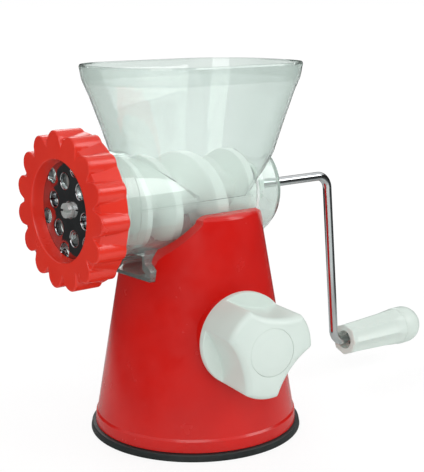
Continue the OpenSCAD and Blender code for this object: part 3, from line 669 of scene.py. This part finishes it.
class GRINDER_OT_grinding_plate(bpy.types.Operator):
    """Builds the polished plate with rounded rims on its outlet holes and on the spindle's hole"""
    bl_idname = "grinder.grinding_plate"
    bl_label = "Grinding plate"

    def execute(self, context):
        s = context.scene.grinder_plate_sizes
        x0, x1 = (corner[0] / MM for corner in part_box("grinding_plate"))
        spindle_hole_r = 4.85
        edge = fillet([(x0, 1.0), (x0, s.outer_r), (x1, s.outer_r), (x1, 1.0)], [0, 0.4, 0.4, 0], 4)
        plate = turned_solid("plate", edge, 144, polished_stainless)
        turns = [k * TURN / 6 for k in range(6)]
        centres = [(17.5, a + math.radians(15)) for a in turns] + [(26.5, a + math.radians(45)) for a in turns]
        holes, faces = [], []
        for ring_r, a in centres + [(0.0, 0.0)]:
            r = s.hole_r if ring_r else spindle_hole_r
            rim = [(s.rim * (1 - math.cos(k * TURN / 24)), r + s.rim * (1 - math.sin(k * TURN / 24))) for k in range(7)]
            profile = [(x0 - 1, 0), (x0 - 1, r + s.rim)] + [(x0 + d, radius) for d, radius in rim]
            profile += [(x1 - d, radius) for d, radius in reversed(rim)] + [(x1 + 1, r + s.rim), (x1 + 1, 0)]
            verts, sides = turned(profile, 48)
            first = sum(len(h) for h in holes)
            faces += [tuple(first + k for k in face) for face in sides]
            holes.append(along_x(verts) + np.array([0, ring_r * math.cos(a), ring_r * math.sin(a)]))
        drill = temporary("drill", np.concatenate(holes), faces, polished_stainless)
        plate = joined("DIFFERENCE", plate, drill)
        plate.name = plate.data.name = "grinding_plate_polished"
        shade(plate, 40.0)
        place(plate, "outlet", "plate_steel", "grinding_plate")
        return {"FINISHED"}


class GRINDER_OT_locking_ring(bpy.types.Operator):
    """Builds the lobed ring with the notches on its front edge"""
    bl_idname = "grinder.locking_ring"
    bl_label = "Locking ring"

    def execute(self, context):
        s = context.scene.grinder_ring_sizes
        x0, x1, steps = s.front_x, s.front_x + s.depth, s.lobes * 40
        angles = (np.arange(steps) + 0.5) * TURN / steps
        mean_r = 46.0
        half = TURN / (2 * s.lobes) * mean_r  # from a crest to the next valley, round the ring
        aside = np.abs((angles * s.lobes / TURN + 0.5) % 1 - 0.5) * 2 * half
        brow, bend = 0.64 * half, 0.08
        fall = (s.outer_r - s.notch_r - bend * brow ** 2) / (half - brow)
        crest = s.outer_r - np.where(aside < brow, bend * aside ** 2, bend * brow ** 2 + fall * (aside - brow))
        opening_r, bore_r, plate_x = 31.9, 37.9, -94.0  # front opening, rear bore, where the ring bears on the plate
        rows = []

        def row(x, radius):
            r = np.full(steps, 1.0) * radius
            rows.append(np.stack([r * np.cos(angles), r * np.sin(angles), np.full(steps, float(x))], -1))

        def skin(x, drawn_in=0.0):
            """Radius over the lobes and over the valley floor, which rises steeply behind the front face."""
            ramp = s.notch_r + (x - x0) * 2.4
            rising = s.valley_r + (s.valley_rear_r - s.valley_r) * (x - x0 - 2) / (s.depth - 2)
            floor = min(ramp, rising) - 0.4 * drawn_in
            lobe = crest - drawn_in
            soft = 0.35  # width over which lobe and floor run into each other
            h = np.clip(0.5 + 0.5 * (lobe - floor) / soft, 0, 1)
            return floor * (1 - h) + lobe * h + soft * h * (1 - h)

        for x, r in ((plate_x, 29.5), (-97.5, 30.1), (x0 + 0.9, 30.9), (x0 + 0.35, 31.1), (x0 + 0.08, 31.4),
                     (x0, opening_r)):
            row(x, r)
        edge = 1.1
        for t in np.linspace(0.1, 1.0, 10):
            row(x0, opening_r + (skin(x0, edge) - opening_r) * t)
        for k in range(1, 6):
            a = k * TURN / 20
            x = x0 + edge * (1 - math.cos(a))
            row(x, skin(x, edge * (1 - math.sin(a))))
        rear_edge = 0.8
        for x in list(np.arange(x0 + 1.3, x0 + 3.2, 0.2)) + list(np.linspace(x0 + 4, x1 - rear_edge, 7)):
            row(x, skin(x))
        for k in range(1, 4):
            a = k * TURN / 12
            row(x1 - rear_edge + rear_edge * math.sin(a), skin(x1, rear_edge * (1 - math.cos(a))))
        for x, r in ((x1, 39.0), (x1 - 0.5, bore_r), (plate_x, bore_r)):
            row(x, r)
        verts = np.concatenate(rows)
        phase = math.radians(180 - 3.5)  # where the first lobe stands
        c, sn = math.cos(phase), math.sin(phase)
        verts = np.stack([verts[:, 0] * c - verts[:, 1] * sn, verts[:, 0] * sn + verts[:, 1] * c, verts[:, 2]], -1)
        ring = smooth_piece("locking_ring_lobed", along_x(verts), grid_faces(len(rows), steps, wrap_rows=True),
                            finish_of(satin_polypropylene), 40.0)
        place(ring, "ring", "ring_plastic", "locking_ring")
        return {"FINISHED"}


def scooped(angles, radius, centre, cutter, count, first, soft=2.2):
    """Radius round the turn after round cutters, spaced evenly from the first, have taken their share."""
    a = (angles - first + TURN / (2 * count)) % (TURN / count) - TURN / (2 * count)
    reach = centre * np.sin(a)
    inside = np.abs(reach) < cutter
    cut = np.where(inside, centre * np.cos(a) - np.sqrt(np.maximum(cutter ** 2 - reach ** 2, 0)), 1e3)
    h = np.clip(0.5 + 0.5 * (cut - radius) / soft, 0, 1)
    return np.minimum(cut * (1 - h) + radius * h - soft * h * (1 - h), radius)


class GRINDER_OT_knob(bpy.types.Operator):
    """Builds the three-lobed knob of the suction lock with its disc, and its round cap"""
    bl_idname = "grinder.knob"
    bl_label = "Lock knob"

    def execute(self, context):
        s = context.scene.grinder_knob_sizes
        front = s.back + s.disc + s.grip
        seam = s.back + s.disc
        rounding, seat_r, seat_deep = 4.6, 14.8, 2.9  # edge of the grip, and the seat of the cap in its front
        first = math.radians(s.scoop_angle)
        steps = 360
        angles = np.arange(steps) * TURN / steps
        rows = []

        def row(along, radius):
            r = np.full(steps, 1.0) * radius
            rows.append(np.stack([r * np.cos(angles), r * np.sin(angles), np.full(steps, float(along))], -1))

        def outline(drawn_in):
            """The lobes' outline, drawn in evenly all round."""
            return scooped(angles, s.disc_r - drawn_in, s.scoop_floor + s.scoop_r, s.scoop_r + drawn_in, 3, first, 1.6)

        wall = outline(0.0)
        free = np.clip((s.disc_r - wall) / 2, 0, 1)  # 0 at the lobes, where disc and grip are one surface
        row(s.back, 21.0)
        for along, radius in fillet([(s.back, 24.0), (s.back, s.disc_r), (seam - 0.7, s.disc_r)], [0, 0.9, 0], 5):
            row(along, radius)
        row(seam - 0.2, s.disc_r - 0.2 * free)
        row(seam, s.disc_r - 0.7 * free)
        row(seam, np.minimum(wall + 1.4 * free, s.disc_r - 0.7 * free))
        row(seam + 0.4, np.minimum(wall + 0.45 * free, s.disc_r - 0.7 * free))
        row(seam + 1.3, wall)
        for t in np.linspace(0.1, 1.0, 8):
            row(seam + 1.3 + (front - rounding - seam - 1.3) * t, wall)
        for k in range(1, 8):
            a = k * TURN / 32
            row(front - rounding + rounding * math.sin(a), outline(rounding * (1 - math.cos(a))))
        rim = outline(rounding)
        for t in (0.35, 0.7, 1.0):
            row(front + 0.3 * t, rim + (seat_r - rim) * t)
        row(front - seat_deep, seat_r)
        row(front - seat_deep, 0.0)
        faces = grid_faces(len(rows), steps) + [tuple(range(steps))]
        knob = smooth_piece("lock_knob_lobed", on_lock(np.concatenate(rows)), faces, finish_of(white_abs), 38.0)
        place(knob, "lock", "white_plastic", "lock_knob")
        cap_r, foot = seat_r - 0.1, front - seat_deep + 0.1
        dome = fillet([(foot, cap_r), (front + 0.25, cap_r), (front + 1.2, 9.0), (front + 1.6, 0.0)], [0, 0.3, 8, 0], 5)
        verts, faces = turned([(foot, 0.0)] + dome, 96)
        cap = smooth_piece("knob_cap_domed", on_lock(verts), faces, finish_of(white_abs), 40.0)
        place(cap, "lock", "white_plastic", "knob_cap")
        return {"FINISHED"}


class GRINDER_OT_crank_grip(bpy.types.Operator):
    """Builds the fluted grip and its domed cap"""
    bl_idname = "grinder.crank_grip"
    bl_label = "Crank grip"

    def execute(self, context):
        s = context.scene.grinder_crank_sizes
        seam = s.grip_x + s.grip_len - s.cap_len
        bore_r = 4.3
        start = fillet([(s.grip_x + 6, bore_r), (s.grip_x + 6, 6.4), (s.grip_x, 6.8), (s.grip_x, s.grip_r1),
                        (s.grip_x + 3, s.grip_r1 + 0.2)], [0.3, 0.3, 0.7, 1.4, 0], 5)
        body = [(s.grip_x + 3 + (seam - 0.2 - s.grip_x - 3) * t, s.grip_r1 + 0.2 + (s.grip_r2 - s.grip_r1 - 0.2) * t)
                for t in np.linspace(0.03, 1, 40)]

        def fluted(along, radius, angles):
            if radius < s.grip_r1 - 2:
                return np.full(len(angles), radius)
            edge_tint_and_painted_shade = 1.6 * np.clip((along - s.grip_x) / 4, 0.25, 1) * np.clip((seam - 4 - along) / 5, 0, 1)
            cutter_r = 9.0
            return scooped(angles, radius, radius + cutter_r - edge_tint_and_painted_shade, cutter_r, s.flutes, TURN / (2 * s.flutes))

        steps = 192
        verts, faces = turned(start + body + [(seam - 0.2, bore_r)], steps, fluted)
        grip = smooth_piece("crank_grip_fluted", along_x(verts, GRIP_Z), faces + closing_faces(len(verts), steps),
                            finish_of(white_abs), 40.0)
        place(grip, "grip", "white_plastic", "crank_grip")
        end = s.grip_x + s.grip_len
        straight = 9.0  # length of the cap before it domes
        dome = [(seam + straight + (s.cap_len - straight) * math.sin(a), s.grip_r2 * math.cos(a))
                for a in np.linspace(0, TURN / 4, 14)[:-1]]
        foot = [(seam, 0.0), (seam, s.grip_r2 - 0.5), (seam + 0.6, s.grip_r2), (seam + 4, s.grip_r2 + 0.1)]
        verts, faces = turned(foot + dome + [(end, 0.0)], 128)
        cap = smooth_piece("grip_cap_domed", along_x(verts, GRIP_Z), faces, finish_of(white_abs), 50.0)
        place(cap, "grip", "white_plastic", "grip_cap")
        return {"FINISHED"}


def closing_faces(count, steps):
    """Faces that join the last row of a turned skin to its first, so that its profile is closed."""
    last = count - steps
    return [(last + j, last + (j + 1) % steps, (j + 1) % steps, j) for j in range(steps)]


class GRINDER_OT_suction_pad(bpy.types.Operator):
    """Builds the rubber pad: a rim that stays under the foot and a centre that the lock draws up"""
    bl_idname = "grinder.suction_pad"
    bl_label = "Suction pad"

    def execute(self, context):
        s = context.scene.grinder_pad_sizes
        joint, flat = s.outer_r - 16, s.web
        rim = fillet([(0, joint), (0, s.outer_r), (s.rim_h, s.outer_r - 0.9), (s.rim_h, 63.0), (s.rim_h + 2.4, 62.4),
                      (s.rim_h + 2.4, 57.3), (flat, joint)], [0, 1.0, 1.1, 0.3, 0.6, 0.8, 0], 5)
        steps = 192
        verts, faces = turned(rim, steps)
        ring = smooth_piece("suction_pad_rim", verts, faces + closing_faces(len(verts), steps),
                            finish_of(suction_rubber), 40.0)
        place(ring, "stand", "pad_rubber", "suction_pad")
        lip, under_lip = 8.6, 6.6  # the lip that holds the insert, and its underside
        cup = fillet([(0, joint), (flat, joint), (flat, 25), (lip, 24), (lip, 8), (under_lip, 8), (under_lip, 20.3),
                      (flat, 20.3), (flat, 0.0)], [0, 0, 2.0, 1.0, 0.5, 0, 0, 0, 0], 5)
        verts, faces = turned([(0, 0.0)] + cup, 128)
        centre = smooth_piece("suction_pad_centre", verts, faces, finish_of(suction_rubber), 40.0)
        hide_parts("suction_pad")
        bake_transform(centre)
        return {"FINISHED"}


class GRINDER_OT_frame_finishes(bpy.types.Operator):
    """Gives the frame nodes that stay in view their finishes"""
    bl_idname = "grinder.frame_finishes"
    bl_label = "Finishes of the frame"

    def execute(self, context):
        finishes = {
            glossy_abs: ("base_shell",),
            grey_nylon: ("base_plate", "pad_insert", "thrust_washer"),
            zinc_plate: ("base_plate_screws", "cam_bracket", "bracket_screws", "lock_shaft", "knob_screw", "drive_socket",
                         "grip_washer"),
            white_abs: ("lift_yoke", "shaft_bush", "rear_bush"),
            ground_stainless: ("cutting_blade",),
            cast_stainless: ("auger_spindle",),
            bright_chrome: ("crank_rod",),
        }
        for kind, nodes in finishes.items():
            for node in nodes:
                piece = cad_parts[node]
                piece.data.materials.clear()
                piece.data.materials.append(finish_of(kind))
        return {"FINISHED"}


# ---------------------------------------------------------------- stage

CAMERA_AT = Vector((-437.2, -565.2, 276.4)) * MM
CAMERA_AZIMUTH, CAMERA_PITCH, CAMERA_ROLL = (math.radians(a) for a in (-38.66, 11.76, -0.29))
FOCAL_PX, FRAME_HEIGHT_PX = 1120.0, 472.0


def camera_matrix():
    a, p, roll = CAMERA_AZIMUTH, CAMERA_PITCH, CAMERA_ROLL
    back = Vector((math.sin(a) * math.cos(p), -math.cos(a) * math.cos(p), math.sin(p)))
    right = Vector((math.cos(a), math.sin(a), 0))
    up = back.cross(right)
    right, up = right * math.cos(roll) + up * math.sin(roll), up * math.cos(roll) - right * math.sin(roll)
    matrix = Matrix((right, up, back)).transposed().to_4x4()
    matrix.translation = CAMERA_AT
    return matrix


LIT_POINT = Vector((0, 0, 0.12))  # the soft boxes face the middle of the object


def soft_box(name, at, width, height, power):
    light = bpy.data.lights.new(name, "AREA")
    light.shape, light.size, light.size_y, light.energy = "RECTANGLE", width, height, power
    lamp = bpy.data.objects.new(name, light)
    lamp.location = at
    lamp.rotation_euler = (LIT_POINT - Vector(at)).to_track_quat("-Z", "Y").to_euler()
    bpy.context.scene.collection.objects.link(lamp)


class GRINDER_OT_stage(bpy.types.Operator):
    """Sets the camera, the soft boxes, the pale floor and the white room"""
    bl_idname = "grinder.stage"
    bl_label = "Camera, light and floor"

    def execute(self, context):
        s = context.scene.grinder_stage_sizes
        scene = context.scene
        camera = bpy.data.cameras.new("camera")
        camera.sensor_width, camera.lens = 36.0, FOCAL_PX * 36.0 / FRAME_HEIGHT_PX
        camera.clip_start, camera.clip_end = 0.01, 200.0
        eye = bpy.data.objects.new("camera", camera)
        scene.collection.objects.link(eye)
        eye.matrix_world = camera_matrix()
        scene.camera = eye
        scene.view_settings.view_transform = "Standard"

        half = 60.0
        mesh = bpy.data.meshes.new("floor")
        corners = [(-half, -half, 0), (half, -half, 0), (half, half, 0), (-half, half, 0)]
        mesh.from_pydata(corners, [], [(0, 1, 2, 3)])
        floor = bpy.data.objects.new("floor", mesh)
        scene.collection.objects.link(floor)
        mesh.materials.append(floor_material(s.floor))

        k = s.key_power
        soft_box("key", (-1.1, -1.3, 1.2), 1.2, 1.2, k * 1.55)
        soft_box("fill", (0.95, -1.0, 1.0), 0.7, 0.9, k * 0.78)
        soft_box("rim", (0.5, 1.4, 1.2), 1.2, 0.8, k)
        white_room(s.world)
        return {"FINISHED"}


def ray_kinds(tree):
    """Sockets that are 1 for rays straight from the camera or through clear plastic, and for mirrored rays."""
    path = add(tree, "ShaderNodeLightPath").outputs
    return math_of(tree, "MAXIMUM", path["Is Camera Ray"], path["Is Transmission Ray"]), path["Is Glossy Ray"]


def floor_material(colour):
    # pale matt table: shows only the soft shadow, and fades to the white of the room further out
    material, tree, shader, coords = new_material("pale_floor", Roughness=0.7)
    direct, mirrored = ray_kinds(tree)
    speck = noise(tree, coords, 60.0, 2.0)
    pale = blended(tree, spread(tree, speck, 0, 1), "#F6F7F7", "#F2F3F3")
    # painted reflection: mirrored rays see the floor painted as a lit sheet in front of the camera side and round the
    # foot, and painted dark elsewhere
    painted_light_middle = (-0.25, -0.6, 0)
    from_painted_light = add(tree, "ShaderNodeVectorMath", {"operation": "DISTANCE"}, {0: coords, 1: painted_light_middle}).outputs["Value"]
    from_foot = add(tree, "ShaderNodeVectorMath", {"operation": "LENGTH"}, {0: coords}).outputs["Value"]
    painted_light_in_front = mapped(tree, from_painted_light, 0.66, 0.46, 0.0, 1.0)
    painted_light_round_foot = mapped(tree, from_foot, 0.42, 0.2, 0.0, 0.7)
    lit = math_of(tree, "MAXIMUM", painted_light_in_front, painted_light_round_foot)
    # painted reflection: dark grey where mirrored rays should find shade, pale where they should find light
    painted_reflection = blended(tree, lit, "#1E2020", "#DDE2E0")
    seen = add(tree, "ShaderNodeMix", {"data_type": "RGBA"}, {0: mirrored, 6: pale, 7: painted_reflection})
    tree.links.new(seen.outputs[2], shader.inputs["Base Color"])
    shader.inputs["Specular IOR Level"].default_value = 0.2
    glow = add(tree, "ShaderNodeEmission", None, {"Color": (1, 1, 1, 1), "Strength": 1.03})
    white = mapped(tree, from_foot, 0.12, 0.6, 0.82, 1.0)
    mix = add(tree, "ShaderNodeMixShader", None, {0: math_of(tree, "MULTIPLY", direct, white)})
    tree.links.new(shader.outputs[0], mix.inputs[1])
    tree.links.new(glow.outputs[0], mix.inputs[2])
    tree.links.new(mix.outputs[0], tree.nodes["Material Output"].inputs["Surface"])
    return material


def white_room(strength):
    """White where the camera looks past the object; mirrored rays find dark walls under a bright ceiling."""
    world = bpy.data.worlds.new("room")
    bpy.context.scene.world = world
    world.use_nodes = True
    tree = world.node_tree
    room = tree.nodes["Background"]
    room.inputs["Color"].default_value = (1, 1, 1, 1)
    direct, mirrored = ray_kinds(tree)
    towards = add(tree, "ShaderNodeTexCoord").outputs["Generated"]
    height = add(tree, "ShaderNodeSeparateXYZ", None, {0: towards}).outputs["Z"]
    walls = mapped(tree, height, 0.34, 0.52, 0.02, 0.85)
    lit = add(tree, "ShaderNodeMix", {"data_type": "FLOAT"}, {0: mirrored, 2: strength, 3: walls}).outputs[0]
    tree.links.new(add(tree, "ShaderNodeMix", {"data_type": "FLOAT"}, {0: direct, 2: lit, 3: 1.0}).outputs[0],
                   room.inputs["Strength"])


# ---------------------------------------------------------------- panel and registration

OPERATORS = (GRINDER_OT_stage, GRINDER_OT_frame_finishes, GRINDER_OT_clear_body, GRINDER_OT_auger,
             GRINDER_OT_suction_pad, GRINDER_OT_grinding_plate, GRINDER_OT_locking_ring, GRINDER_OT_knob,
             GRINDER_OT_crank_grip)
SIZES = {"grinder_body_sizes": GrinderBodySizes, "grinder_auger_sizes": AugerSizes, "grinder_plate_sizes": PlateSizes,
         "grinder_ring_sizes": RingSizes, "grinder_pad_sizes": PadSizes, "grinder_knob_sizes": KnobSizes,
         "grinder_crank_sizes": CrankSizes, "grinder_stage_sizes": StageSizes}


class GRINDER_PT_panel(bpy.types.Panel):
    """Lists the pieces of the grinder and their sizes"""
    bl_idname = "GRINDER_PT_panel"
    bl_label = "Meat Grinder"
    bl_space_type = "VIEW_3D"
    bl_region_type = "UI"
    bl_category = "Meat Grinder"

    def draw(self, context):
        for operator in OPERATORS:
            self.layout.operator(operator.bl_idname)
        for name, group in SIZES.items():
            box = self.layout.box()
            for key in group.__annotations__:
                box.prop(getattr(context.scene, name), key)


def register():
    for name, group in SIZES.items():
        bpy.utils.register_class(group)
        setattr(bpy.types.Scene, name, bpy.props.PointerProperty(type=group))
    for kind in OPERATORS + (GRINDER_PT_panel,):
        bpy.utils.register_class(kind)


def unregister():
    for kind in reversed(OPERATORS + (GRINDER_PT_panel,)):
        bpy.utils.unregister_class(kind)
    for name, group in SIZES.items():
        delattr(bpy.types.Scene, name)
        bpy.utils.unregister_class(group)


def main():
    register()
    for operator in OPERATORS:
        family, name = operator.bl_idname.split(".")
        getattr(getattr(bpy.ops, family), name)()


if __name__ == "__main__":
    main()
